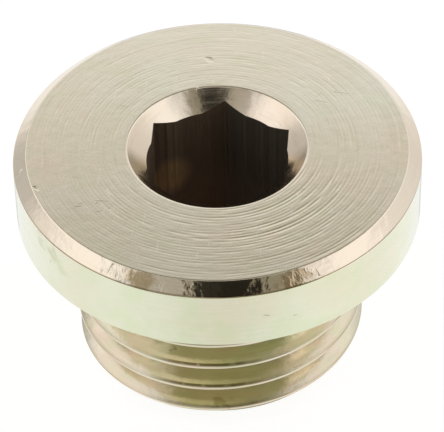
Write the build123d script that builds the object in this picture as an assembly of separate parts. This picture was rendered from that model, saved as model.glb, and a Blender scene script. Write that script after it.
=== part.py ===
from build123d import *
import os
from math import radians, tan

# Hexagon socket screw plug with a collar, for a G 1/4 port, turned from one piece of steel.
# Millimetres. The origin is the centre of the sealing face under the collar, and +Z runs
# along the axis towards the socket.

# Collar
collar_dia = 18.0
collar_height = 3.3
top_chamfer_across = 0.58  # measured along the top face
top_chamfer_down = 0.46  # measured down the collar's side
rim_break = 0.05  # small break on the edge of the sealing face

# Shank
shank_length = 7.7
end_face_dia = 11.2  # just under the thread's root of 11.32

# G 1/4 A thread, right-handed, with flats on its crests and roots
thread_major_dia = 13.03  # allowed 12.907 to 13.157
threads_per_inch = 19
thread_angle = 55.0
thread_depth = 0.856
crest_flat = 0.17  # width of the crests, measured along the axis
crest_height = -3.66  # of one crest, where it crosses the XZ plane on the +X side
cut_turns = 8  # more than the shank has room for, so the cut runs past both its ends
cutter_overhang = 0.05  # how far the cutter stands out of the crests
stock = 0.5  # left on the shank's radius for the thread to be cut from

# Undercut between the sealing face and the thread, wide enough to clear a 2 mm sealing ring
undercut_dia = 11.1
undercut_width = 2.3
undercut_radius = 0.7  # in the corner under the collar

# Hexagon socket for a 6 mm key
socket_across_flats = 6.05
socket_depth = 7.0
countersink_dia = 7.95
countersink_angle = 100.0
pilot_dia = 5.8
pilot_depth = 7.5
drill_point_angle = 118.0

collar_radius = collar_dia / 2
thread_radius = thread_major_dia / 2
blank_radius = thread_radius + stock
end_radius = end_face_dia / 2
undercut_floor = undercut_dia / 2
pitch = 25.4 / threads_per_inch


def turned_blank():
    """The collar, undercut and unthreaded shank, as one half section turned about the axis."""
    end_chamfer = blank_radius - end_radius
    undercut_ramp = blank_radius - undercut_floor
    ramp_foot = thread_radius - undercut_floor - undercut_width
    with BuildPart() as blank:
        with BuildSketch(Plane.XZ) as section:
            with BuildLine():
                Polyline(
                    (0, -shank_length),
                    (end_radius, -shank_length),
                    (blank_radius, end_chamfer - shank_length),
                    (blank_radius, ramp_foot - undercut_ramp),
                    (undercut_floor, ramp_foot),
                    (undercut_floor, 0),
                    (collar_radius - rim_break, 0),
                    (collar_radius, rim_break),
                    (collar_radius, collar_height - top_chamfer_down),
                    (collar_radius - top_chamfer_across, collar_height),
                    (0, collar_height),
                    close=True,
                )
            make_face()
            inner_corner = section.vertices().sort_by_distance((undercut_floor, 0, 0))[0]
            fillet(inner_corner, undercut_radius)
        revolve(axis=Axis.Z)
    return blank.part


def thread_groove(start):
    """The space between two crests, swept up the helix from the +X side at the height start."""
    slope = tan(radians(thread_angle / 2))
    root_radius = thread_radius - thread_depth
    mouth_radius = thread_radius + cutter_overhang
    root_half = (pitch - crest_flat) / 2 - thread_depth * slope
    mouth_half = (pitch - crest_flat) / 2 + cutter_overhang * slope
    with BuildSketch(Plane((0, 0, start), x_dir=(1, 0, 0), z_dir=(0, -1, 0))) as groove:
        with BuildLine():
            Polyline(
                (root_radius, -root_half),
                (mouth_radius, -mouth_half),
                (mouth_radius, mouth_half),
                (root_radius, root_half),
                close=True,
            )
        make_face()
    helix = Helix(pitch, cut_turns * pitch, thread_radius, center=(0, 0, start))
    return sweep(groove.sketch, path=helix, is_frenet=True)


def threaded_bar():
    """A bar of the thread's diameter, a pitch longer than its groove at both ends."""
    half_way = crest_height - pitch / 2
    start = half_way - cut_turns / 2 * pitch
    bar_length = (cut_turns + 2) * pitch
    bar = Pos(0, 0, start - pitch) * Cylinder(
        thread_radius, bar_length, align=(Align.CENTER, Align.CENTER, Align.MIN)
    )
    return bar - thread_groove(start)


def thread_waste():
    """What the thread takes off the blank: a ring round the shank, outside the threaded bar."""
    ring_bottom = -shank_length - pitch
    ring_top = -undercut_radius
    ring = Pos(0, 0, ring_bottom) * Cylinder(
        collar_radius, ring_top - ring_bottom, align=(Align.CENTER, Align.CENTER, Align.MIN)
    )
    return ring - threaded_bar()


def hexagon_socket():
    """The broached hexagon, with the pilot bore and its drill point below the broach's stop."""
    pilot_radius = pilot_dia / 2
    point_height = pilot_radius / tan(radians(drill_point_angle / 2))
    with BuildPart() as socket:
        with BuildSketch(Plane.XY.offset(collar_height)):
            RegularPolygon(socket_across_flats / 2, 6, major_radius=False, rotation=30)
        extrude(amount=-socket_depth)
        with BuildSketch(Plane.XZ):
            with BuildLine():
                Polyline(
                    (0, collar_height),
                    (pilot_radius, collar_height),
                    (pilot_radius, collar_height - pilot_depth),
                    (0, collar_height - pilot_depth - point_height),
                    close=True,
                )
            make_face()
        revolve(axis=Axis.Z)
    return socket.part


def countersink():
    """The cone at the mouth, which meets the hexagon's flats in six curved edges."""
    mouth_radius = countersink_dia / 2
    cone_height = mouth_radius / tan(radians(countersink_angle / 2))
    return Pos(0, 0, collar_height - cone_height / 2) * Cone(0, mouth_radius, cone_height)


hex_socket_plug = turned_blank() - thread_waste() - hexagon_socket() - countersink()
hex_socket_plug.label = "plug_body"

os.makedirs("parts", exist_ok=True)
export_step(hex_socket_plug, "parts/plug_body.step")
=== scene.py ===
import random
from math import atan2, cos, hypot, pi, radians, sin, sqrt, tan

import bmesh
import bpy
from mathutils import Matrix, Vector, noise


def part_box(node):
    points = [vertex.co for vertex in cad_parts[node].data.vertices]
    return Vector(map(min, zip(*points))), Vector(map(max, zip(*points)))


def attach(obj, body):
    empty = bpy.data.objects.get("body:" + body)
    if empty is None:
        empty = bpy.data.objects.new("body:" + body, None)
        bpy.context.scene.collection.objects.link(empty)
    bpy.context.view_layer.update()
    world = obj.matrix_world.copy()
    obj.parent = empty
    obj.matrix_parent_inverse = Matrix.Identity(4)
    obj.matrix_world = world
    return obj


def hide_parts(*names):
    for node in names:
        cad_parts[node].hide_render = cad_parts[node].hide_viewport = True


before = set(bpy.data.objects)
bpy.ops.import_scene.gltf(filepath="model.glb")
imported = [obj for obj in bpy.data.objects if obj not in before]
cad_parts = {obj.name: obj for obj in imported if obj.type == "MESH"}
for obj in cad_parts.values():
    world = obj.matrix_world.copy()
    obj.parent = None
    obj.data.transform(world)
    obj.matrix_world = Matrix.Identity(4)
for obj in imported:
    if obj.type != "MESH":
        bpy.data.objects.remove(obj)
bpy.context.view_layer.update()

scene = bpy.context.scene
mm = 0.001                   # the plug is worked in millimetres and brought to metres at the end
print("frame loaded")


def pointingTo(azimuth, elevation):
    # Degrees; azimuth 0 is -Y and 90 is +X
    around = radians(azimuth)
    up = radians(elevation)
    return Vector((sin(around) * cos(up), -cos(around) * cos(up), sin(up)))


# Camera

cameraSetup = {
    "lens": 229.7,
    "sensor": 36.0,          # mm wide
    "distance": 127.19,      # mm from the point looked at
    "azimuth": 6.15,         # degrees from -Y towards +X
    "elevation": 43.354,
    "roll": -1.219,
    "target": (0.1453, 0.0157, -0.943),
    "clip": (0.005, 20),     # metres
}


def placeCamera(setup):
    back = pointingTo(setup["azimuth"], setup["elevation"])
    roll = radians(setup["roll"])
    level = Vector((0, 0, 1)).cross(back).normalized()
    upright = back.cross(level)
    right = cos(roll) * level + sin(roll) * upright
    up = -sin(roll) * level + cos(roll) * upright
    data = bpy.data.cameras.new("plugCamera")
    data.sensor_fit = "HORIZONTAL"
    data.sensor_width = setup["sensor"]
    data.lens = setup["lens"]
    data.clip_start, data.clip_end = setup["clip"]
    camera = bpy.data.objects.new("plugCamera", data)
    turn = Matrix((right, up, back)).transposed().to_4x4()
    spot = (Vector(setup["target"]) + back * setup["distance"]) * mm
    camera.matrix_world = Matrix.Translation(spot) @ turn
    scene.collection.objects.link(camera)
    scene.camera = camera


placeCamera(cameraSetup)
print("camera placed")


# Shared steps for turned shapes and cutting tools

cornerSteps = 5              # segments of a rounded corner in an outline
weld = 1e-5                  # mm, spots nearer than this become one


def roundCorner(bm, spot, radius):
    # The bevel's offset runs along the two edges from the corner
    near, far = [edge.other_vert(spot).co - spot.co for edge in spot.link_edges]
    bmesh.ops.bevel(
        bm, geom=[spot], offset=radius / tan(near.angle(far) / 2), offset_type="OFFSET",
        affect="VERTICES", segments=cornerSteps, profile=0.5, material=-1,
    )


def drawOutline(bm, points):
    # Each point is a radius and a height, with a corner radius where it is rounded
    spots = [bm.verts.new((radius, 0, height)) for radius, height, *corner in points]
    for first, second in zip(spots, spots[1:]):
        bm.edges.new((first, second))
    for spot, (radius, height, *corner) in zip(spots, points):
        if corner:
            roundCorner(bm, spot, corner[0])


def turnRound(bm, steps):
    bmesh.ops.spin(
        bm, geom=bm.verts[:] + bm.edges[:], cent=(0, 0, 0), axis=(0, 0, 1),
        dvec=(0, 0, 0), angle=2 * pi, steps=steps, use_merge=True,
    )
    bmesh.ops.remove_doubles(bm, verts=bm.verts[:], dist=weld)
    bmesh.ops.recalc_face_normals(bm, faces=bm.faces[:])


def spotsOf(geometry):
    return [item for item in geometry if isinstance(item, bmesh.types.BMVert)]


def makeObject(bm, name):
    mesh = bpy.data.meshes.new(name)
    bm.to_mesh(mesh)
    bm.free()
    piece = bpy.data.objects.new(name, mesh)
    scene.collection.objects.link(piece)
    return piece


def makeTool(bm, name):
    # A tool has no open edges, or it wouldn't cut
    openEdges = sum(1 for edge in bm.edges if not edge.is_manifold)
    print(name, "made:", len(bm.faces), "faces,", openEdges, "open edges")
    return makeObject(bm, name)


def cutAway(piece, tool):
    cut = piece.modifiers.new(tool.name, "BOOLEAN")
    cut.operation = "DIFFERENCE"
    cut.solver = "MANIFOLD"
    cut.object = tool
    graph = bpy.context.evaluated_depsgraph_get()
    result = bpy.data.meshes.new_from_object(piece.evaluated_get(graph))
    piece.modifiers.clear()
    uncut = piece.data
    piece.data = result
    bpy.data.meshes.remove(uncut)
    spent = tool.data
    bpy.data.objects.remove(tool)
    bpy.data.meshes.remove(spent)


# Blank: the collar, the undercut and the shank before its thread

blank = {
    "collarRadius": 8.995,   # a hair inside the facets of the CAD's collar
    "collarHeight": 3.299,
    "chamferAcross": 0.58,
    "chamferDown": 0.46,
    "lowerRound": 0.07,      # of the chamfer's two edges
    "upperRound": 0.09,
    "guard": 0.06,           # keeps the shading of a round off the flat beside it
    "rimBreak": 0.05,
    "undercutRadius": 5.55,
    "undercutWidth": 2.3,
    "undercutCorner": 0.7,
    "shankRadius": 6.6,      # a little over the thread, which cuts its own crest
    "endRadius": 5.6,
    "endHeight": -7.699,
    "steps": 384,            # round the axis
    "sharpAngle": 28,        # degrees, past which an edge is shaded sharp
}

facing = {
    "feed": 0.165,           # between the turning marks on the top face
    "uneven": 0.12,          # how far the feed wanders, as a share of it
    "groove": 0.06,          # width of a mark
    "widths": (0.7, 1.2),    # least and most, as shares of that width
    "depth": 0.0022,
    "depths": (0.6, 0.8, 1.0, 1.5),  # times the depth, one of these for each mark
    "deepest": 0.01,         # more than any mark, less than any other drop
    "innerRadius": 4.02,
    "seed": 7,
    "leastWear": 50,         # degrees from -Y towards +X, the side where the marks are deepest
    "leastWearPower": 4,     # the higher, the narrower that side
    "shares": (0.41, 0.72),  # of the depth: all round, and more on that side
    "backFade": 0.4,         # how much shallower they are on the far side from -Y
    "breaks": 1.8,           # how strongly the marks come and go
    "breakScales": (1.1, 23),  # per mm, along the marks and across them
}


def facedTop(spec, rim, top):
    # A fine groove for each turn of the facing cut, from the rim inwards
    drawn = random.Random(spec["seed"])
    outline = [(rim, top)]
    radius = rim
    while radius > spec["innerRadius"]:
        radius -= spec["feed"] * drawn.uniform(1 - spec["uneven"], 1 + spec["uneven"])
        half = spec["groove"] * drawn.uniform(*spec["widths"]) / 2
        depth = spec["depth"] * drawn.choice(spec["depths"])
        outline += [(radius + half, top), (radius, top - depth), (radius - half, top)]
    return outline


def wearFacing(bm, spec, rim, top):
    # The marks fade and break off along each turn
    allRound, oneSide = spec["shares"]
    along, across = spec["breakScales"]
    for spot in bm.verts:
        depth = top - spot.co.z
        radius = hypot(spot.co.x, spot.co.y)
        if depth < weld or depth > spec["deepest"] or radius > rim:
            continue
        azimuth = atan2(spot.co.x, -spot.co.y)
        turned = max(0, cos(azimuth - radians(spec["leastWear"])))
        share = allRound + oneSide * turned ** spec["leastWearPower"]
        patch = noise.noise(Vector((along * spot.co.x, along * spot.co.y, across * radius)))
        share *= max(0, 1 + spec["breaks"] * patch)
        share *= 1 - spec["backFade"] * max(0, -cos(azimuth))
        spot.co.z = top - depth * share


def turnedBlank(spec, facingSpec, threadRadius):
    rise = spec["shankRadius"] - spec["endRadius"]
    ramp = spec["shankRadius"] - spec["undercutRadius"]
    rampFoot = -spec["undercutWidth"] + threadRadius - spec["undercutRadius"]
    top = spec["collarHeight"]
    rim = spec["collarRadius"]
    faced = rim - spec["chamferAcross"]
    shoulder = top - spec["chamferDown"]
    guard = spec["guard"]
    guardDown = guard * spec["chamferDown"] / spec["chamferAcross"]
    outline = [
        (0, spec["endHeight"]),
        (spec["endRadius"], spec["endHeight"]),
        (spec["shankRadius"], spec["endHeight"] + rise),
        (spec["shankRadius"], rampFoot - ramp),
        (spec["undercutRadius"], rampFoot),
        (spec["undercutRadius"], 0, spec["undercutCorner"]),
        (rim - spec["rimBreak"], 0),
        (rim, spec["rimBreak"]),
        (rim, shoulder - guard),
        (rim, shoulder, spec["lowerRound"]),
        (rim - guard, shoulder + guardDown),
        (faced + guard, top - guardDown),
        (faced, top, spec["upperRound"]),
        *facedTop(facingSpec, faced - guard, top),
        (0, top),
    ]
    bm = bmesh.new()
    drawOutline(bm, outline)
    turnRound(bm, spec["steps"])
    wearFacing(bm, facingSpec, faced - guard, top)
    return makeObject(bm, "plug_body_visual")


# Thread: a tool like a nut, which leaves the crests standing

thread = {
    "pitch": 25.4 / 19,      # 19 to the inch
    "crestHeight": -3.66,    # of one crest, where it crosses the +X side
    "majorRadius": 6.515,
    "depth": 0.856,
    "flank": 27.5,           # half of 55 degrees
    "crestFlat": 0.17,       # before its corners are rounded
    "crestRound": 0.07,
    "crestWear": 0.012,      # how far the crests wander inwards
    "wearReach": 0.2,        # down from the crests, where the wear ends
    "wanders": ((1.7, 1), (4.1, 0.5)),  # waves per mm and their share
    "rootRound": 0.16,
    "stepsPerTurn": 192,
    "turns": 9,
    "spareTurns": 1.5,       # of the helix below the tool, which are cut off
    "pastEnd": 0.8,          # the tool's reach past the end face
    "topHeight": -1.0,       # where it stops, in the undercut
    "spread": 1.3,           # its outer size, as a share of the thread's
    "weld": 1e-4,            # looser than elsewhere, to join the turns
    "snap": 1e-6,            # of the level cuts at the tool's ends
}


def threadProfile(spec):
    # One pitch of the thread, from the middle of a flank, round its root, to the next but one
    pitch = spec["pitch"]
    slope = tan(radians(spec["flank"]))
    crest = spec["majorRadius"]
    root = crest - spec["depth"]
    crestHalf = spec["crestFlat"] / 2
    rootHalf = pitch / 2 - crestHalf - spec["depth"] * slope
    middle = (crest + root) / 2
    middleHalf = (rootHalf + pitch / 2 - crestHalf) / 2
    bm = bmesh.new()
    drawOutline(bm, [
        (middle, -middleHalf),
        (root, -rootHalf, spec["rootRound"]),
        (root, rootHalf, spec["rootRound"]),
        (crest, pitch / 2 - crestHalf, spec["crestRound"]),
        (crest, pitch / 2 + crestHalf, spec["crestRound"]),
        (middle, pitch - middleHalf),
    ])
    return bm


def windHelix(bm, spec, lowest):
    # The root lies half a pitch below a crest
    pitch = spec["pitch"]
    steps = spec["stepsPerTurn"]
    root = spec["crestHeight"] - pitch / 2
    while root > lowest:
        root -= pitch
    bmesh.ops.translate(bm, verts=bm.verts[:], vec=(0, 0, root))
    bmesh.ops.spin(
        bm, geom=bm.verts[:] + bm.edges[:], cent=(0, 0, 0), axis=(0, 0, 1),
        dvec=(0, 0, pitch / steps), angle=2 * pi, steps=steps,
    )
    oneTurn = bm.verts[:] + bm.edges[:] + bm.faces[:]
    for turn in range(1, spec["turns"]):
        copied = bmesh.ops.duplicate(bm, geom=oneTurn)["geom"]
        bmesh.ops.translate(bm, verts=spotsOf(copied), vec=(0, 0, turn * pitch))
    bmesh.ops.remove_doubles(bm, verts=bm.verts[:], dist=spec["weld"])


def wearCrests(bm, spec):
    for spot in bm.verts:
        radius = hypot(spot.co.x, spot.co.y)
        height = max(0, 1 - (spec["majorRadius"] - radius) / spec["wearReach"])
        wander = sum(share * noise.noise(spot.co * waves) for waves, share in spec["wanders"])
        share = 1 - spec["crestWear"] * height * max(0, wander) / radius
        spot.co.x *= share
        spot.co.y *= share


def closeEnds(bm, spec, low, high):
    # Cut level, then flat rings spread outwards from both ends, and a wall that joins them
    for height, side in ((low, -1), (high, 1)):
        bmesh.ops.bisect_plane(
            bm, geom=bm.verts[:] + bm.edges[:] + bm.faces[:], dist=spec["snap"],
            plane_co=(0, 0, height), plane_no=(0, 0, side), clear_outer=True,
        )
    for height in (low, high):
        rim = [
            edge for edge in bm.edges if edge.is_boundary
            and all(abs(spot.co.z - height) < spec["weld"] for spot in edge.verts)
        ]
        ring = bmesh.ops.extrude_edge_only(bm, edges=rim)["geom"]
        bmesh.ops.scale(bm, verts=spotsOf(ring), vec=(spec["spread"], spec["spread"], 1))
    bmesh.ops.bridge_loops(bm, edges=[edge for edge in bm.edges if edge.is_boundary])
    bmesh.ops.recalc_face_normals(bm, faces=bm.faces[:])


def threadTool(spec, endHeight):
    low = endHeight - spec["pastEnd"]
    bm = threadProfile(spec)
    windHelix(bm, spec, low - spec["spareTurns"] * spec["pitch"])
    wearCrests(bm, spec)
    closeEnds(bm, spec, low, spec["topHeight"])
    return makeTool(bm, "threadTool")


# Socket: the hexagon, the pilot bore under it and the countersink at its mouth

socket = {
    "acrossFlats": 6.05,
    "depth": 7.0,
    "cornerRound": 0.03,
    "cornerSegments": 3,
    "keyAbove": 1,           # the hexagon tool's reach above the collar
    "mouthRadius": 3.975,
    "halfAngle": 50.0,
    "lipRadius": 0.15,
    "lipAngle": 80.0,        # where the lip's round stops, from the axis
    "mouthAbove": 0.5,       # the countersink tool's reach above the collar
    "mouthSteps": 192,
    "pilotRadius": 3.13,     # just past the flats, so that it leaves an arc in each
    "pilotShift": (0, -0.05, 0),
    "pilotDepth": 7.5,
    "pointAngle": 59.0,
    "pilotSteps": 96,
}


def keyTool(spec, top):
    # The hexagon has corners on the Y axis
    bm = bmesh.new()
    corners = bmesh.ops.create_circle(
        bm, segments=6, radius=spec["acrossFlats"] / sqrt(3), cap_ends=True,
    )["verts"]
    bmesh.ops.translate(bm, verts=corners, vec=(0, 0, top - spec["depth"]))
    raised = bmesh.ops.extrude_face_region(bm, geom=bm.faces[:])["geom"]
    bmesh.ops.translate(bm, verts=spotsOf(raised), vec=(0, 0, spec["depth"] + spec["keyAbove"]))
    upright = [
        edge for edge in bm.edges
        if abs(edge.verts[0].co.z - edge.verts[1].co.z) > spec["depth"]
    ]
    bmesh.ops.bevel(
        bm, geom=upright, offset=spec["cornerRound"], affect="EDGES",
        segments=spec["cornerSegments"], profile=0.5, material=-1,
    )
    bmesh.ops.recalc_face_normals(bm, faces=bm.faces[:])
    return makeTool(bm, "keyTool")


def pilotTool(spec, top):
    floor = top - spec["pilotDepth"]
    point = spec["pilotRadius"] / tan(radians(spec["pointAngle"]))
    bm = bmesh.new()
    drawOutline(bm, [
        (0, floor - point),
        (spec["pilotRadius"], floor),
        (spec["pilotRadius"], top),
        (0, top),
    ])
    turnRound(bm, spec["pilotSteps"])
    bmesh.ops.translate(bm, verts=bm.verts[:], vec=spec["pilotShift"])
    return makeTool(bm, "pilotTool")


def mouthTool(spec, top):
    # The countersink's cone with a rolled lip, carried on above the collar's top
    radius = spec["mouthRadius"]
    above = spec["mouthAbove"]
    lipWidth = above * tan(radians(spec["lipAngle"]))
    bm = bmesh.new()
    drawOutline(bm, [
        (0, top - radius / tan(radians(spec["halfAngle"]))),
        (radius, top, spec["lipRadius"]),
        (radius + lipWidth, top + above),
        (0, top + above),
    ])
    turnRound(bm, spec["mouthSteps"])
    return makeTool(bm, "mouthTool")


# Wear: knocks and scratches, each with both its ends, its width and its depth

nicks = (
    ((-8.60, -2.35, 2.90), (-8.33, -1.86, 3.24), 0.09, 0.03),
    ((-7.72, -3.20, 3.30), (-7.40, -3.50, 3.30), 0.16, 0.012),
    ((-1.32, 3.70, 3.28), (-1.18, 3.84, 3.32), 0.09, 0.06),
    ((-1.10, 5.98, 3.30), (-0.68, 5.60, 3.30), 0.30, 0.006),
    ((-4.58, 2.36, 3.30), (-4.10, 2.26, 3.30), 0.04, 0.008),
    ((3.90, 3.46, 3.30), (4.35, 3.92, 3.30), 0.05, 0.010),
    ((4.02, 3.38, 3.30), (4.75, 3.22, 3.30), 0.04, 0.006),
    ((4.85, 3.98, 3.30), (5.55, 3.90, 3.30), 0.04, 0.006),
    ((-5.82, -4.35, 3.30), (-5.33, -4.30, 3.30), 0.07, 0.012),
    ((-5.70, -4.19, 3.30), (-5.36, -4.09, 3.30), 0.05, 0.008),
    ((-4.89, -3.91, 3.30), (-4.26, -3.91, 3.30), 0.06, 0.010),
    ((-4.82, -4.07, 3.30), (-4.42, -4.35, 3.30), 0.05, 0.010),
    ((-4.91, -4.67, 3.30), (-4.44, -4.49, 3.30), 0.07, 0.010),
    ((-4.60, -3.07, 3.30), (-4.32, -3.49, 3.30), 0.05, 0.008),
    ((-4.33, -4.33, 3.30), (-3.78, -4.68, 3.30), 0.05, 0.008),
    ((3.70, -2.95, 3.30), (3.95, -2.50, 3.30), 0.05, 0.006),
    ((4.02, -7.93, 2.88), (4.32, -7.62, 3.10), 0.05, 0.012),
    ((3.78, -7.80, 3.10), (4.36, -7.84, 2.93), 0.05, 0.012),
    ((2.70, -8.58, 1.62), (3.02, -8.47, 1.52), 0.08, 0.008),
    ((3.90, -8.10, 1.20), (4.14, -7.98, 1.16), 0.07, 0.008),
    ((-0.34, -8.99, 2.88), (-0.24, -8.99, 2.82), 0.07, 0.012),
)

burrs = {                    # crowded together along the chamfer
    "zones": (               # degrees from -Y towards +X, how many, seed
        (-28, -19, 6, 3),
        (24, 34, 8, 5),
        (-12, -4, 4, 8),
    ),
    "places": (0.1, 0.9),    # from the chamfer's top edge to its bottom edge
    "around": 0.011,         # radians, half of the longest burr's reach round the collar
    "across": 0.12,          # the most it leans, as a share of the chamfer
    "widths": (0.04, 0.08),
    "depths": (0.003, 0.008),
}


def burrMarks(spec, collar):
    marks = []
    for first, last, count, seed in spec["zones"]:
        drawn = random.Random(seed)
        for number in range(count):
            azimuth = radians(drawn.uniform(first, last))
            down = drawn.uniform(*spec["places"])
            radius = collar["collarRadius"] - collar["chamferAcross"] * (1 - down)
            height = collar["collarHeight"] - collar["chamferDown"] * down
            around = drawn.uniform(-spec["around"], spec["around"])
            across = drawn.uniform(-spec["across"], spec["across"])
            ends = []
            for side in (-1, 1):
                turn = azimuth + side * around
                reach = radius + side * across * collar["chamferAcross"] / 2
                drop = height - side * across * collar["chamferDown"] / 2
                ends.append((reach * sin(turn), -reach * cos(turn), drop))
            marks.append((*ends, drawn.uniform(*spec["widths"]), drawn.uniform(*spec["depths"])))
    return marks


def outwardAt(spot, collar):
    # Away from the collar's side, its chamfer or its top, whichever the spot lies on
    up = Vector((0, 0, 1))
    outward = Vector((spot.x, spot.y, 0)).normalized()
    if spot.z < collar["collarHeight"] - collar["chamferDown"]:
        return outward
    if spot.xy.length > collar["collarRadius"] - collar["chamferAcross"]:
        slope = atan2(collar["chamferAcross"], collar["chamferDown"])
        return cos(slope) * outward + sin(slope) * up
    return up


def nickTool(marks, collar):
    # Long blisters that lie along the surface and are cut out of it
    bm = bmesh.new()
    for start, end, width, depth in marks:
        start = Vector(start)
        end = Vector(end)
        middle = (start + end) / 2
        along = (end - start).normalized()
        beside = outwardAt(middle, collar).cross(along).normalized()
        turn = Matrix((along, beside, along.cross(beside))).transposed()
        stretch = Matrix.Diagonal(((end - start).length / 2, width / 2, depth, 1))
        place = Matrix.Translation(middle) @ turn.to_4x4() @ stretch
        bmesh.ops.create_icosphere(bm, subdivisions=2, radius=1, matrix=place)
    bmesh.ops.recalc_face_normals(bm, faces=bm.faces[:])
    return makeTool(bm, "nickTool")


def finishMesh(piece, sharpAngle):
    mesh = piece.data
    mesh.transform(Matrix.Scale(mm, 4))
    mesh.set_sharp_from_angle(angle=radians(sharpAngle))
    mesh.shade_smooth()


top = blank["collarHeight"]
body = turnedBlank(blank, facing, thread["majorRadius"])
cutAway(body, threadTool(thread, blank["endHeight"]))
cutAway(body, keyTool(socket, top))
cutAway(body, pilotTool(socket, top))
cutAway(body, mouthTool(socket, top))
cutAway(body, nickTool((*nicks, *burrMarks(burrs, blank)), blank))
finishMesh(body, blank["sharpAngle"])
print("plug cut from its blank")


# Node helpers


def feed(tree, value, socket):
    if isinstance(value, bpy.types.NodeSocket):
        tree.links.new(value, socket)
    else:
        socket.default_value = value


def addNode(tree, kind, inputs=None, **settings):
    node = tree.nodes.new(kind)
    for name, value in settings.items():
        setattr(node, name, value)
    for name, value in (inputs or {}).items():
        feed(tree, value, node.inputs[name])
    return node


def maths(tree, operation, *values):
    return addNode(
        tree, "ShaderNodeMath", dict(enumerate(values)), operation=operation,
    ).outputs[0]


def vectorMaths(tree, operation, *values):
    return addNode(
        tree, "ShaderNodeVectorMath", dict(enumerate(values)), operation=operation,
    ).outputs


def splitAxes(tree, vector):
    return addNode(tree, "ShaderNodeSeparateXYZ", {"Vector": vector}).outputs


def angleRound(tree, axes):
    return maths(tree, "ARCTAN2", axes["Y"], axes["X"])


def noiseTexture(tree, place, scale, detail, roughness):
    return addNode(tree, "ShaderNodeTexNoise", {
        "Vector": place, "Scale": scale, "Detail": detail, "Roughness": roughness,
    }).outputs


def remap(tree, value, span, low=0, high=1, kind="SMOOTHSTEP"):
    return addNode(tree, "ShaderNodeMapRange", {
        "Value": value, "From Min": span[0], "From Max": span[1], "To Min": low, "To Max": high,
    }, interpolation_type=kind).outputs["Result"]


def mixColours(tree, factor, first, second, blend="MIX"):
    # The Mix node's colour sockets are 6 and 7 going in, and 2 coming out
    return addNode(tree, "ShaderNodeMix", {
        "Factor": factor, 6: first, 7: second,
    }, data_type="RGBA", blend_type=blend).outputs[2]


def startGroup(name, inputs, outputs):
    group = bpy.data.node_groups.new(name, "ShaderNodeTree")
    for label, kind in inputs:
        group.interface.new_socket(label, in_out="INPUT", socket_type=kind)
    for label, kind in outputs:
        group.interface.new_socket(label, in_out="OUTPUT", socket_type=kind)
    given = group.nodes.new("NodeGroupInput").outputs
    made = group.nodes.new("NodeGroupOutput").inputs
    return group, given, made


def placeGroup(tree, group, inputs):
    return addNode(tree, "ShaderNodeGroup", inputs, node_tree=group).outputs


def grey(level):
    return (level, level, level, 1)


def newMaterial(name):
    material = bpy.data.materials.new(name)
    material.use_nodes = True
    tree = material.node_tree
    tree.nodes.clear()
    surface = addNode(tree, "ShaderNodeBsdfPrincipled")
    addNode(tree, "ShaderNodeOutputMaterial", {"Surface": surface.outputs["BSDF"]})
    return material, tree, surface


# Effects that the finishes share. A noise is given by its waves per metre, detail and roughness,
# and a span by the values between which an effect comes in.

tintPattern = {
    "broad": (210, 3, 0.55),
    "small": (760, 3, 0.6),
    "blushSpan": (0.38, 0.68),
    "greenSpan": (0.40, 0.70),
    "blush": (1.0, 0.78, 0.72, 1),
    "green": (0.80, 0.96, 0.72, 1),
}


def platingTintGroup(spec):
    group, given, made = startGroup(
        "platingTint",
        [("Place", "NodeSocketVector"), ("Colour", "NodeSocketColor"),
         ("Blush", "NodeSocketFloat"), ("Green", "NodeSocketFloat")],
        [("Colour", "NodeSocketColor")],
    )
    broad = noiseTexture(group, given["Place"], *spec["broad"])["Fac"]
    small = noiseTexture(group, given["Place"], *spec["small"])["Fac"]
    blushShare = maths(group, "MULTIPLY", remap(group, broad, spec["blushSpan"]), given["Blush"])
    greenShare = maths(group, "MULTIPLY", remap(group, small, spec["greenSpan"]), given["Green"])
    blush = mixColours(group, 1.0, given["Colour"], spec["blush"], "MULTIPLY")
    green = mixColours(group, 1.0, given["Colour"], spec["green"], "MULTIPLY")
    tinted = mixColours(group, blushShare, given["Colour"], blush)
    feed(group, mixColours(group, greenShare, tinted, green), made["Colour"])
    return group


markPattern = {
    "turn": 2.2,             # how much the marks change in a turn
    "fine": (1, 2, 0.6),     # waves per mark
    "slow": (1, 2, 0.5),
    "slowing": (0.23, 0.9, 0.9),  # of the slow noise, across the marks and along them
    "toneSpan": (0.52, 0.70),
}


def toolMarksGroup(spec):
    # Marks that run round the axis; Path is the distance across them
    group, given, made = startGroup(
        "toolMarks",
        [("Place", "NodeSocketVector"), ("Path", "NodeSocketFloat"),
         ("Spacing", "NodeSocketFloat")],
        [("Height", "NodeSocketFloat"), ("Tone", "NodeSocketFloat")],
    )
    angle = angleRound(group, splitAxes(group, given["Place"]))
    lane = addNode(group, "ShaderNodeCombineXYZ", {
        "X": maths(group, "DIVIDE", given["Path"], given["Spacing"]),
        "Y": maths(group, "MULTIPLY", maths(group, "COSINE", angle), spec["turn"]),
        "Z": maths(group, "MULTIPLY", maths(group, "SINE", angle), spec["turn"]),
    }).outputs[0]
    slowLane = vectorMaths(group, "MULTIPLY", lane, spec["slowing"])[0]
    slow = noiseTexture(group, slowLane, *spec["slow"])["Fac"]
    feed(group, noiseTexture(group, lane, *spec["fine"])["Fac"], made["Height"])
    feed(group, remap(group, slow, spec["toneSpan"]), made["Tone"])
    return group


scuffPattern = {
    "streaks": (             # turn in radians, waves per metre along each axis, shift
        (0.6, (9000, 1100, 1500), 3.1),
        (-0.9, (8200, 1000, 1400), 8.4),
    ),
    "noise": (1, 1, 0.5),
    "span": (0.71, 0.78),
}


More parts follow.
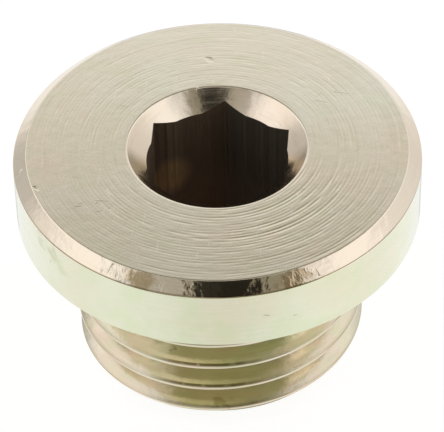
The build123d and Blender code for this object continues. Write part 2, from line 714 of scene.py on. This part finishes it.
def scuffsGroup(spec):
    # Short scratches in two directions, here and there
    group, given, made = startGroup(
        "scuffs", [("Place", "NodeSocketVector")], [("Mask", "NodeSocketFloat")],
    )
    masks = []
    for turn, waves, shift in spec["streaks"]:
        lane = addNode(group, "ShaderNodeMapping", {
            "Vector": given["Place"], "Location": (shift, shift, 0),
            "Rotation": (0, 0, turn), "Scale": waves,
        }).outputs[0]
        streak = noiseTexture(group, lane, *spec["noise"])["Fac"]
        masks.append(remap(group, streak, spec["span"]))
    feed(group, maths(group, "MAXIMUM", *masks), made["Mask"])
    return group


unevenPattern = {
    "waves": (2200, 2, 0.5),
    "grain": (13000, 1, 0.5),
    "stray": 1.2,            # mm, the width over which a place is shifted about
}


def unevennessGroup(spec):
    # Soft waves, fine grain, and a place that strays about, for patches with ragged edges
    group, given, made = startGroup(
        "unevenness", [("Place", "NodeSocketVector")],
        [("Waves", "NodeSocketFloat"), ("Grain", "NodeSocketFloat"),
         ("Stray", "NodeSocketVector")],
    )
    waves = noiseTexture(group, given["Place"], *spec["waves"])
    grain = noiseTexture(group, given["Place"], *spec["grain"])
    shift = vectorMaths(group, "SUBTRACT", waves["Color"], (0.5, 0.5, 0.5))[0]
    reach = [spec["stray"] * mm] * 3
    feed(group, waves["Fac"], made["Waves"])
    feed(group, grain["Fac"], made["Grain"])
    feed(group, vectorMaths(group, "MULTIPLY_ADD", shift, reach, given["Place"])[0], made["Stray"])
    return group


plateTint = platingTintGroup(tintPattern)
toolMarks = toolMarksGroup(markPattern)
scuffs = scuffsGroup(scuffPattern)
unevenness = unevennessGroup(unevenPattern)


# Finishes: one zinc plating all over, tinted by its passivation and finished by each tool's marks.
# Some tints are painted shade, painted light and painted dark reflections, chosen for the camera's
# view.
# Relief and places are in mm. Patches and the painted spots of light and shade have a centre, a
# radius and a tint, and patches are ragged. The painted sides of light and shade have a direction,
# and two places along it where a tint begins and is full.
# Every tint multiplies the colour.

finishes = {
    "facedSteel": {
        "colour": (0.80, 0.745, 0.61), "blush": 0.20, "green": 0.16, "roughness": 0.18,
        "marks": 0.0012, "spacing": 0.04, "waves": 0.003, "grain": 0.0011,
        "toneDepth": 0.12, "scuffs": 0.4,
        # Painted light: the top face lighter and cooler towards the back right
        "litAndShadedSides": (((0.5, 0.87, 0), -1, 6.5, (1.045, 1.07, 1.10)),),
        "patches": (
            ((-6.3, -0.5, 3.3), 4.0, (1.0, 0.97, 0.95)),
            ((6.5, 0.0, 3.3), 4.0, (1.0, 0.965, 0.94)),
        ),
    },
    "burnishedSteel": {
        "colour": (0.87, 0.775, 0.64), "blush": 0.12, "green": 0.02, "roughness": 0.07,
        "marks": 0.0018, "spacing": 0.05, "waves": 0.020, "grain": 0.0008,
        "toneDepth": 0.12, "scuffs": 0.15,
        "burrs": (((-3.5, -7.75, 3.1), 0.8), ((4.45, -7.6, 3.0), 1.0)),
        # Painted shade: a dark line along the chamfer's lower edge
        "litAndShadedSides": (((0, -0.006, -1), -2.846, -2.811, (0.50, 0.45, 0.38)),),
        # Painted dark reflections: two darker patches on the chamfer, front left and front right
        "patches": (
            ((-2.45, -8.3, 3.1), 0.8, (0.74, 0.66, 0.52)),
            ((3.95, -7.85, 3.0), 0.8, (0.66, 0.58, 0.47)),
        ),
    },
    "boredSteel": {
        "colour": (0.87, 0.775, 0.65), "blush": 0.16, "green": 0.02, "roughness": 0.18,
        "marks": 0.0014, "spacing": 0.05, "waves": 0.012, "grain": 0.0005,
        "toneDepth": 0.16, "scuffs": 0.1,
        # Painted shade: the cone much darker on its front half, towards -Y, and a little darker on
        # its left and right sides
        "litAndShadedSides": (
            ((0.1, -1, 0), -0.3, 0.9, (0.42, 0.40, 0.34)),
            ((-1, -0.3, 0), 1.5, 3.5, (0.90, 0.87, 0.83)),
            ((1, 0.2, 0), 2.6, 3.4, (0.98, 0.94, 0.91)),
        ),
        # Painted shade: a dark spot on the cone's right side
        "litAndShadedSpots": (((3.2, -0.45, 2.65), 0.40, (0.30, 0.27, 0.22)),),
    },
    "collarSteel": {
        "colour": (0.715, 0.725, 0.55), "blush": 0.28, "green": 0.32, "roughness": 0.22,
        "marks": 0.0008, "spacing": 0.08, "waves": 0.012, "grain": 0.0005,
        "toneDepth": 0.05, "scuffs": 0.1, "coat": 0.8,
        "patches": (
            ((-7.11, -5.51, 2.29), 0.50, (0.83, 0.81, 0.78)),
            ((-6.50, -6.22, 2.18), 0.55, (0.82, 0.79, 0.72)),
            ((-6.13, -6.58, 1.73), 0.55, (0.88, 0.90, 0.80)),
        ),
    },
    "underSteel": {
        "colour": (0.78, 0.73, 0.58), "blush": 0.10, "green": 0.10, "roughness": 0.17,
        "marks": 0.0008, "spacing": 0.06, "waves": 0.006, "grain": 0.001,
        "toneDepth": 0.10, "scuffs": 0.05,
    },
    "threadSteel": {
        "colour": (0.725, 0.665, 0.535), "blush": 0.45, "green": 0.35, "roughness": 0.17,
        "marks": 0.0012, "spacing": 0.06, "waves": 0.010, "grain": 0.0006,
        # Painted shade on the crests
        "toneDepth": 0.20, "scuffs": 0.1, "paintedCrestShade": 0.95,
        "patches": (
            ((0.62, -6.26, -6.44), 0.35, (0.75, 0.72, 0.6)),
            ((-1.37, -5.8, -3.67), 0.2, (0.6, 0.6, 0.5)),
        ),
    },
    # The socket's dark colour is partly bare steel and partly painted shade
    "socketSteel": {
        "colour": (0.35, 0.265, 0.20), "blush": 0.10, "green": 0.0, "roughness": 0.6,
        "marks": 0.0015, "spacing": 0.12, "waves": 0.0, "grain": 0.0,
        "toneDepth": 0.2, "scuffs": 0.0,
        # Painted shade: the +X half darker and cooler. Painted light: the walls lighter towards
        # the bottom
        "litAndShadedSides": (
            ((1, 0, 0), -0.5, 0.5, (0.64, 0.79, 0.88)),
            ((0, 0, -1), 0, 3, (1.45, 1.4, 1.45)),
        ),
        # Painted reflection: a warm bright glow on the back left wall
        "litAndShadedSpots": (((-2.35, 2.1, -0.6), 1.3, (2.0, 1.9, 1.45)),),
    },
}

plating = {
    "wallRadius": 3,         # mm from the axis to the socket's walls
    "fullShare": 0.4,        # of a patch's radius, within which it is full
    "lineTint": (0.62, 0.56, 0.48, 1),
    "wornTint": (0.9, 0.87, 0.8, 1),
    "roughSpan": (0.3, 0.7),  # of the tool marks
    "roughShares": (0.8, 1.2),
    "burrHeight": 0.0035,    # mm
    "scuffDepth": 0.0005,
}

# Painted shade on the thread: a dark line above each crest, full towards -Y and away from the end
# face, and crests painted dimmer towards the sides
crestLook = {                # mm along Y and Z, and lines in pitches above a crest
    "frontSpan": (-5.9, -6.4),
    "leastFront": 0.12,
    "lowSpan": (-6.3, -5.9),
    "leastLow": 0.35,
    "lineAt": 0.090,
    "lineSpan": (0.030, 0.012),
    "brokenSpan": (0.25, 0.42),  # of the waves, where the line is broken and whole
    "leastBroken": 0.55,
    "lineTint": (0.25, 0.22, 0.15, 1),
    "asideSpan": (-6.0, -4.5),
    "crestSpan": (0.09, 0.05),
    "dimmedCrestTint": (0.90, 0.87, 0.82, 1),
}


def inMetres(values):
    return [value * mm for value in values]


def acrossMarks(tree, place, kind):
    # Distance across the marks: from the axis, up it, round it, or up it along the thread
    axes = splitAxes(tree, place)
    if kind == "height":
        return axes["Z"]
    if kind == "radius":
        squares = [maths(tree, "MULTIPLY", axes[name], axes[name]) for name in "XY"]
        return maths(tree, "SQRT", maths(tree, "ADD", *squares))
    angle = angleRound(tree, axes)
    if kind == "around":
        return maths(tree, "MULTIPLY", angle, plating["wallRadius"] * mm)
    climb = maths(tree, "MULTIPLY", angle, thread["pitch"] * mm / (2 * pi))
    return maths(tree, "SUBTRACT", axes["Z"], climb)


def nearness(tree, place, centre, radius):
    # 1 about the centre, fading to nothing at the radius
    away = vectorMaths(tree, "DISTANCE", place, inMetres(centre))["Value"]
    return remap(tree, away, (radius * mm, plating["fullShare"] * radius * mm))


def tintPlaces(tree, colour, place, patches):
    for centre, radius, tint in patches:
        near = nearness(tree, place, centre, radius)
        colour = mixColours(tree, near, colour, (*tint, 1), "MULTIPLY")
    return colour


def paintSideLightAndShade(tree, colour, place, litAndShadedSides):
    # Paints light and shade by side: each tint comes in along its direction
    for direction, start, end, tint in litAndShadedSides:
        along = vectorMaths(tree, "DOT_PRODUCT", place, direction)["Value"]
        share = remap(tree, along, inMetres((start, end)))
        colour = mixColours(tree, share, colour, (*tint, 1), "MULTIPLY")
    return colour


def paintedCrestShade(tree, look, colour, place, path, patchy, depth):
    # Painted shade: a dark line along the upper side of each crest at the front, and crests
    # painted dimmer at the sides
    axes = splitAxes(tree, place)
    front = remap(tree, axes["Y"], inMetres(look["frontSpan"]), look["leastFront"])
    low = remap(tree, axes["Z"], inMetres(look["lowSpan"]), look["leastLow"])
    broken = remap(tree, patchy, look["brokenSpan"], look["leastBroken"])
    fromCrest = maths(tree, "SUBTRACT", path, thread["crestHeight"] * mm)
    turns = maths(tree, "DIVIDE", fromCrest, thread["pitch"] * mm)
    offLine = maths(tree, "SUBTRACT", maths(tree, "FRACT", turns), look["lineAt"])
    line = remap(tree, maths(tree, "ABSOLUTE", offLine), look["lineSpan"], 0, depth)
    for share in (broken, maths(tree, "MULTIPLY", front, low)):
        line = maths(tree, "MULTIPLY", line, share)
    colour = mixColours(tree, line, colour, look["lineTint"], "MULTIPLY")
    halfOn = maths(tree, "FRACT", maths(tree, "ADD", turns, 0.5))
    offCrest = maths(tree, "ABSOLUTE", maths(tree, "SUBTRACT", halfOn, 0.5))
    aside = remap(tree, axes["Y"], inMetres(look["asideSpan"]))
    dimmed = maths(tree, "MULTIPLY", remap(tree, offCrest, look["crestSpan"]), aside)
    return mixColours(tree, dimmed, colour, look["dimmedCrestTint"], "MULTIPLY")


def reliefHeight(tree, spec, marks, uneven, worn):
    # All the small relief added up, in millimetres
    height = maths(tree, "MULTIPLY", marks["Height"], spec["marks"])
    height = maths(tree, "MULTIPLY_ADD", uneven["Waves"], spec["waves"], height)
    height = maths(tree, "MULTIPLY_ADD", uneven["Grain"], spec["grain"], height)
    for centre, radius in spec.get("burrs", ()):
        near = nearness(tree, uneven["Stray"], centre, radius)
        burr = maths(tree, "MULTIPLY", near, uneven["Grain"])
        height = maths(tree, "MULTIPLY_ADD", burr, plating["burrHeight"], height)
    return maths(tree, "MULTIPLY_ADD", worn, -plating["scuffDepth"], height)


def platingColour(tree, spec, place, path, marks, uneven):
    colour = placeGroup(tree, plateTint, {
        "Place": place, "Colour": (*spec["colour"], 1),
        "Blush": spec["blush"], "Green": spec["green"],
    })["Colour"]
    lines = maths(tree, "MULTIPLY", marks["Tone"], spec["toneDepth"])
    colour = mixColours(tree, lines, colour, plating["lineTint"], "MULTIPLY")
    # Painted light and painted shade, by side
    colour = paintSideLightAndShade(tree, colour, place, spec.get("litAndShadedSides", ()))
    # Patches: smudges, marks and tints of the plating, and on the chamfer painted dark reflections
    colour = tintPlaces(tree, colour, uneven["Stray"], spec.get("patches", ()))
    # Painted spots of light and shade
    colour = tintPlaces(tree, colour, place, spec.get("litAndShadedSpots", ()))
    # Painted shade along the thread's crests
    depth = spec.get("paintedCrestShade", 0)
    if depth:
        colour = paintedCrestShade(tree, crestLook, colour, place, path, uneven["Waves"], depth)
    return colour


def platedSteel(name, kind):
    spec = finishes[name]
    material, tree, surface = newMaterial(name)
    place = addNode(tree, "ShaderNodeTexCoord").outputs["Object"]
    path = acrossMarks(tree, place, kind)
    marks = placeGroup(tree, toolMarks, {
        "Place": place, "Path": path, "Spacing": spec["spacing"] * mm,
    })
    uneven = placeGroup(tree, unevenness, {"Place": place})
    worn = placeGroup(tree, scuffs, {"Place": place})["Mask"]
    worn = maths(tree, "MULTIPLY", worn, spec["scuffs"])
    colour = platingColour(tree, spec, place, path, marks, uneven)
    smooth, rough = [spec["roughness"] * share for share in plating["roughShares"]]
    bump = addNode(tree, "ShaderNodeBump", {
        "Height": reliefHeight(tree, spec, marks, uneven, worn), "Distance": mm, "Strength": 1.0,
    })
    looks = {
        "Metallic": 1,
        "Coat Weight": spec.get("coat", 0),
        "Base Color": mixColours(tree, worn, colour, plating["wornTint"]),
        "Roughness": remap(tree, marks["Height"], plating["roughSpan"], smooth, rough, "LINEAR"),
        "Normal": bump.outputs["Normal"],
    }
    for label, value in looks.items():
        feed(tree, value, surface.inputs[label])
    return material


# Where each finish lies on the plug; mm, and the upward part of a face's normal

bodyFinishes = {             # with what its tool marks are counted along
    "facedSteel": "radius",
    "burnishedSteel": "radius",
    "collarSteel": "height",
    "threadSteel": "helix",
    "socketSteel": "around",
    "underSteel": "radius",
    "boredSteel": "radius",
}

borders = {
    "lipReach": 0.1,         # outwards from the mouth's radius
    "lipDrop": 0.06,         # down from the collar's top
    "lipTilt": (0.79, 0.99),
    "socketReach": 0.06,
    "socketDrop": 0.01,
    "endSkin": 1,            # up from the end face, below which nothing is socket
    "coneFoot": 1.9,
    "coneTilt": 0.5,
    "faceTilt": 0.97,
    "faceDrop": 0.1,
    "chamferPast": 0.01,
    "sideFoot": 0.06,
    "sideDepth": 0.1,
    "threadTop": -1.6,
}


def finishOf(centre, tilt, spec):
    radius = hypot(centre.x, centre.y)
    top = blank["collarHeight"]
    mouth = socket["mouthRadius"]
    steepest, flattest = spec["lipTilt"]
    onLip = radius < mouth + spec["lipReach"] and centre.z > top - spec["lipDrop"]
    if onLip and steepest < tilt < flattest:
        return "burnishedSteel"
    inside = blank["endHeight"] + spec["endSkin"] < centre.z < top - spec["socketDrop"]
    if inside and radius < mouth + spec["socketReach"]:
        onCone = tilt > spec["coneTilt"] and centre.z > spec["coneFoot"]
        return "boredSteel" if onCone else "socketSteel"
    if tilt > spec["faceTilt"] and centre.z > top - spec["faceDrop"]:
        return "facedSteel"
    if centre.z > top - blank["chamferDown"] - spec["chamferPast"]:
        return "burnishedSteel"
    if centre.z > spec["sideFoot"] and radius > blank["collarRadius"] - spec["sideDepth"]:
        return "collarSteel"
    return "underSteel" if centre.z > spec["threadTop"] else "threadSteel"


def dressBody(piece):
    mesh = piece.data
    mesh.materials.clear()
    for name, kind in bodyFinishes.items():
        mesh.materials.append(platedSteel(name, kind))
    order = list(bodyFinishes)
    for face in mesh.polygons:
        face.material_index = order.index(finishOf(face.center / mm, face.normal.z, borders))


dressBody(body)
print("plug dressed")


# Studio: a pale floor, and a world of white walls. The darker, brighter and tinted places on
# them are chosen for what the plug mirrors in the camera's view.

studio = {
    "floorRadius": 3,        # metres
    "floorSides": 64,
    "floorAlbedo": 0.8,
    "seenAlbedo": 0.25,      # what the camera sees of the floor's shading
    "seenGlow": 0.875,
    "levels": (              # elevation and strength all round
        (-90, 0.42), (-72, 0.45), (-60, 0.85), (-53, 0.97), (-30, 0.96), (-12, 1.0), (-2, 0.86),
        (8, 0.80), (20, 0.85), (30, 0.90), (38, 1.12), (46, 1.12), (56, 1.0), (80, 0.65),
    ),
    "spots": (               # azimuth, elevation, full and outer angle, strength
        (10.2, 60, 10, 15.5, 0.07),
        (186, 68, 18, 32, 0.30),
        (-124, 12, 10, 26, 0.72),
        (-84, -42, 15, 60, 1.12),
        (96, -42, 15, 60, 1.16),
        (186, -42, 7, 15, 0.64),
        (-66, -12, 8, 22, 1.28),
        (75, -11, 8, 20, 1.60),
        (-120, 32, 3, 8, 1.30),
        (48, -67, 5, 13, 0.65),
        (-50, -71, 8, 18, 1.30),
    ),
    "sectors": (             # azimuth, half width, elevations from and to, soft edge, strength
        (6.0, 74, 48, 75, 6, 0.78),
        (-23.0, 29, -5, 70, 2.5, 0.57),
        (31.7, 25.7, -5, 70, 2.5, 0.38),
        (-71.0, 20, 2, 22, 6, 0.45),
        (83.0, 20, 2, 22, 6, 0.45),
        (124.0, 20, -32, -14, 5, 0.5),
    ),
    "desk": (10.0, 46, -31, -5, 2.5),  # a sector too, with a tint of its own
    "deskStrength": 0.50,
    "deskTint": (0.93, 1.0, 0.60, 1),
    "underSpan": (-58, -70),  # elevations where the plug's own shade lies on the floor
    "wallTint": (1.0, 0.995, 0.985, 1),
    "wallEdge": 0.05,        # how softly the walls meet the floor
    "shadeTint": (1.0, 0.95, 0.72, 1),
    "shadeSpan": (0.25, 0.6),  # of the strength, from shaded to lit
}

white = grey(1)


def layFloor(spec, height):
    bm = bmesh.new()
    disc = bmesh.ops.create_circle(
        bm, segments=spec["floorSides"], radius=spec["floorRadius"], cap_ends=True,
    )["verts"]
    bmesh.ops.translate(bm, verts=disc, vec=(0, 0, height))
    floor = makeObject(bm, "studioFloor")
    floor.data.materials.append(paleFloor(spec))


def paleFloor(spec):
    material, tree, surface = newMaterial("paleFloor")
    path = addNode(tree, "ShaderNodeLightPath").outputs
    seen = path["Is Camera Ray"]
    looks = {
        "Roughness": 1,
        "Specular IOR Level": 0,
        "Base Color": mixColours(tree, seen, grey(spec["floorAlbedo"]), grey(spec["seenAlbedo"])),
        "Emission Color": white,
        "Emission Strength": maths(tree, "MULTIPLY", seen, spec["seenGlow"]),
    }
    for label, value in looks.items():
        feed(tree, value, surface.inputs[label])
    # Mirror rays pass through to what the world has below the horizon, which isn't plain white
    mirrored = maths(tree, "MAXIMUM", path["Is Glossy Ray"], path["Is Transmission Ray"])
    clear = addNode(tree, "ShaderNodeBsdfTransparent")
    either = addNode(tree, "ShaderNodeMixShader", {
        0: mirrored, 1: surface.outputs["BSDF"], 2: clear.outputs["BSDF"],
    })
    output = next(node for node in tree.nodes if node.type == "OUTPUT_MATERIAL")
    feed(tree, either.outputs["Shader"], output.inputs["Surface"])
    return material


def spotMask(tree, way, azimuth, elevation, inner, outer):
    near = vectorMaths(tree, "DOT_PRODUCT", way, pointingTo(azimuth, elevation))["Value"]
    return remap(tree, near, (cos(radians(outer)), cos(radians(inner))))


def sectorMask(tree, way, azimuth, halfWidth, low, high, soft):
    flat = vectorMaths(tree, "MULTIPLY", way, (1, 1, 0))[0]
    heading = vectorMaths(tree, "NORMALIZE", flat)[0]
    turned = vectorMaths(tree, "DOT_PRODUCT", heading, pointingTo(azimuth, 0))["Value"]
    height = splitAxes(tree, way)["Z"]
    wide = remap(tree, turned, [cos(radians(halfWidth + edge)) for edge in (soft, -soft)])
    above = remap(tree, height, [sin(radians(low + edge)) for edge in (-soft, soft)])
    below = remap(tree, height, [sin(radians(high + edge)) for edge in (soft, -soft)])
    return maths(tree, "MULTIPLY", wide, maths(tree, "MULTIPLY", above, below))


def wallStrength(tree, height, levels):
    # By height above the horizon; the ramp holds shares of the brightest level
    ramp = addNode(tree, "ShaderNodeValToRGB", {
        "Fac": remap(tree, height, (-1, 1), kind="LINEAR"),
    })
    stops = ramp.color_ramp.elements
    brightest = max(level for elevation, level in levels)
    for place, (elevation, level) in enumerate(levels):
        spot = (sin(radians(elevation)) + 1) / 2
        stop = stops.new(spot) if place else stops[0]
        stop.position = spot
        stop.color = grey(level / brightest)
    stops.remove(stops[-1])
    return maths(tree, "MULTIPLY", ramp.outputs["Color"], brightest)


def studioStrength(tree, spec, way, height):
    strength = wallStrength(tree, height, spec["levels"])
    masks = [(spotMask(tree, way, *spot), level) for *spot, level in spec["spots"]]
    masks += [(sectorMask(tree, way, *sector), level) for *sector, level in spec["sectors"]]
    masks.append((sectorMask(tree, way, *spec["desk"]), spec["deskStrength"]))
    for mask, level in masks:
        share = remap(tree, mask, (0, 1), 1, level, "LINEAR")
        strength = maths(tree, "MULTIPLY", strength, share)
    return strength


def studioTint(tree, spec, way, height, strength):
    edge = spec["wallEdge"]
    colour = mixColours(tree, remap(tree, height, (-edge, edge)), white, spec["wallTint"])
    lit = remap(tree, strength, spec["shadeSpan"])
    colour = mixColours(tree, lit, spec["shadeTint"], colour)
    desk = sectorMask(tree, way, *spec["desk"])
    under = remap(tree, height, [sin(radians(elevation)) for elevation in spec["underSpan"]])
    return mixColours(tree, maths(tree, "MAXIMUM", desk, under), colour, spec["deskTint"])


def lightWorld(spec):
    # The camera sees plain white, and the plug is lit by the walls
    world = bpy.data.worlds.new("studioWorld")
    scene.world = world
    world.use_nodes = True
    tree = world.node_tree
    tree.nodes.clear()
    way = addNode(tree, "ShaderNodeTexCoord").outputs["Generated"]
    height = splitAxes(tree, way)["Z"]
    seen = addNode(tree, "ShaderNodeLightPath").outputs["Is Camera Ray"]
    strength = studioStrength(tree, spec, way, height)
    colour = studioTint(tree, spec, way, height, strength)
    sky = addNode(tree, "ShaderNodeBackground", {
        "Color": mixColours(tree, seen, colour, white),
        "Strength": maths(tree, "MAXIMUM", strength, seen),
    })
    addNode(tree, "ShaderNodeOutputWorld", {"Surface": sky.outputs[0]})


layFloor(studio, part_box("plug_body")[0][2])
lightWorld(studio)
scene.view_settings.view_transform = "Standard"
print("studio lit")


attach(body, "root")
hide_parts("plug_body")
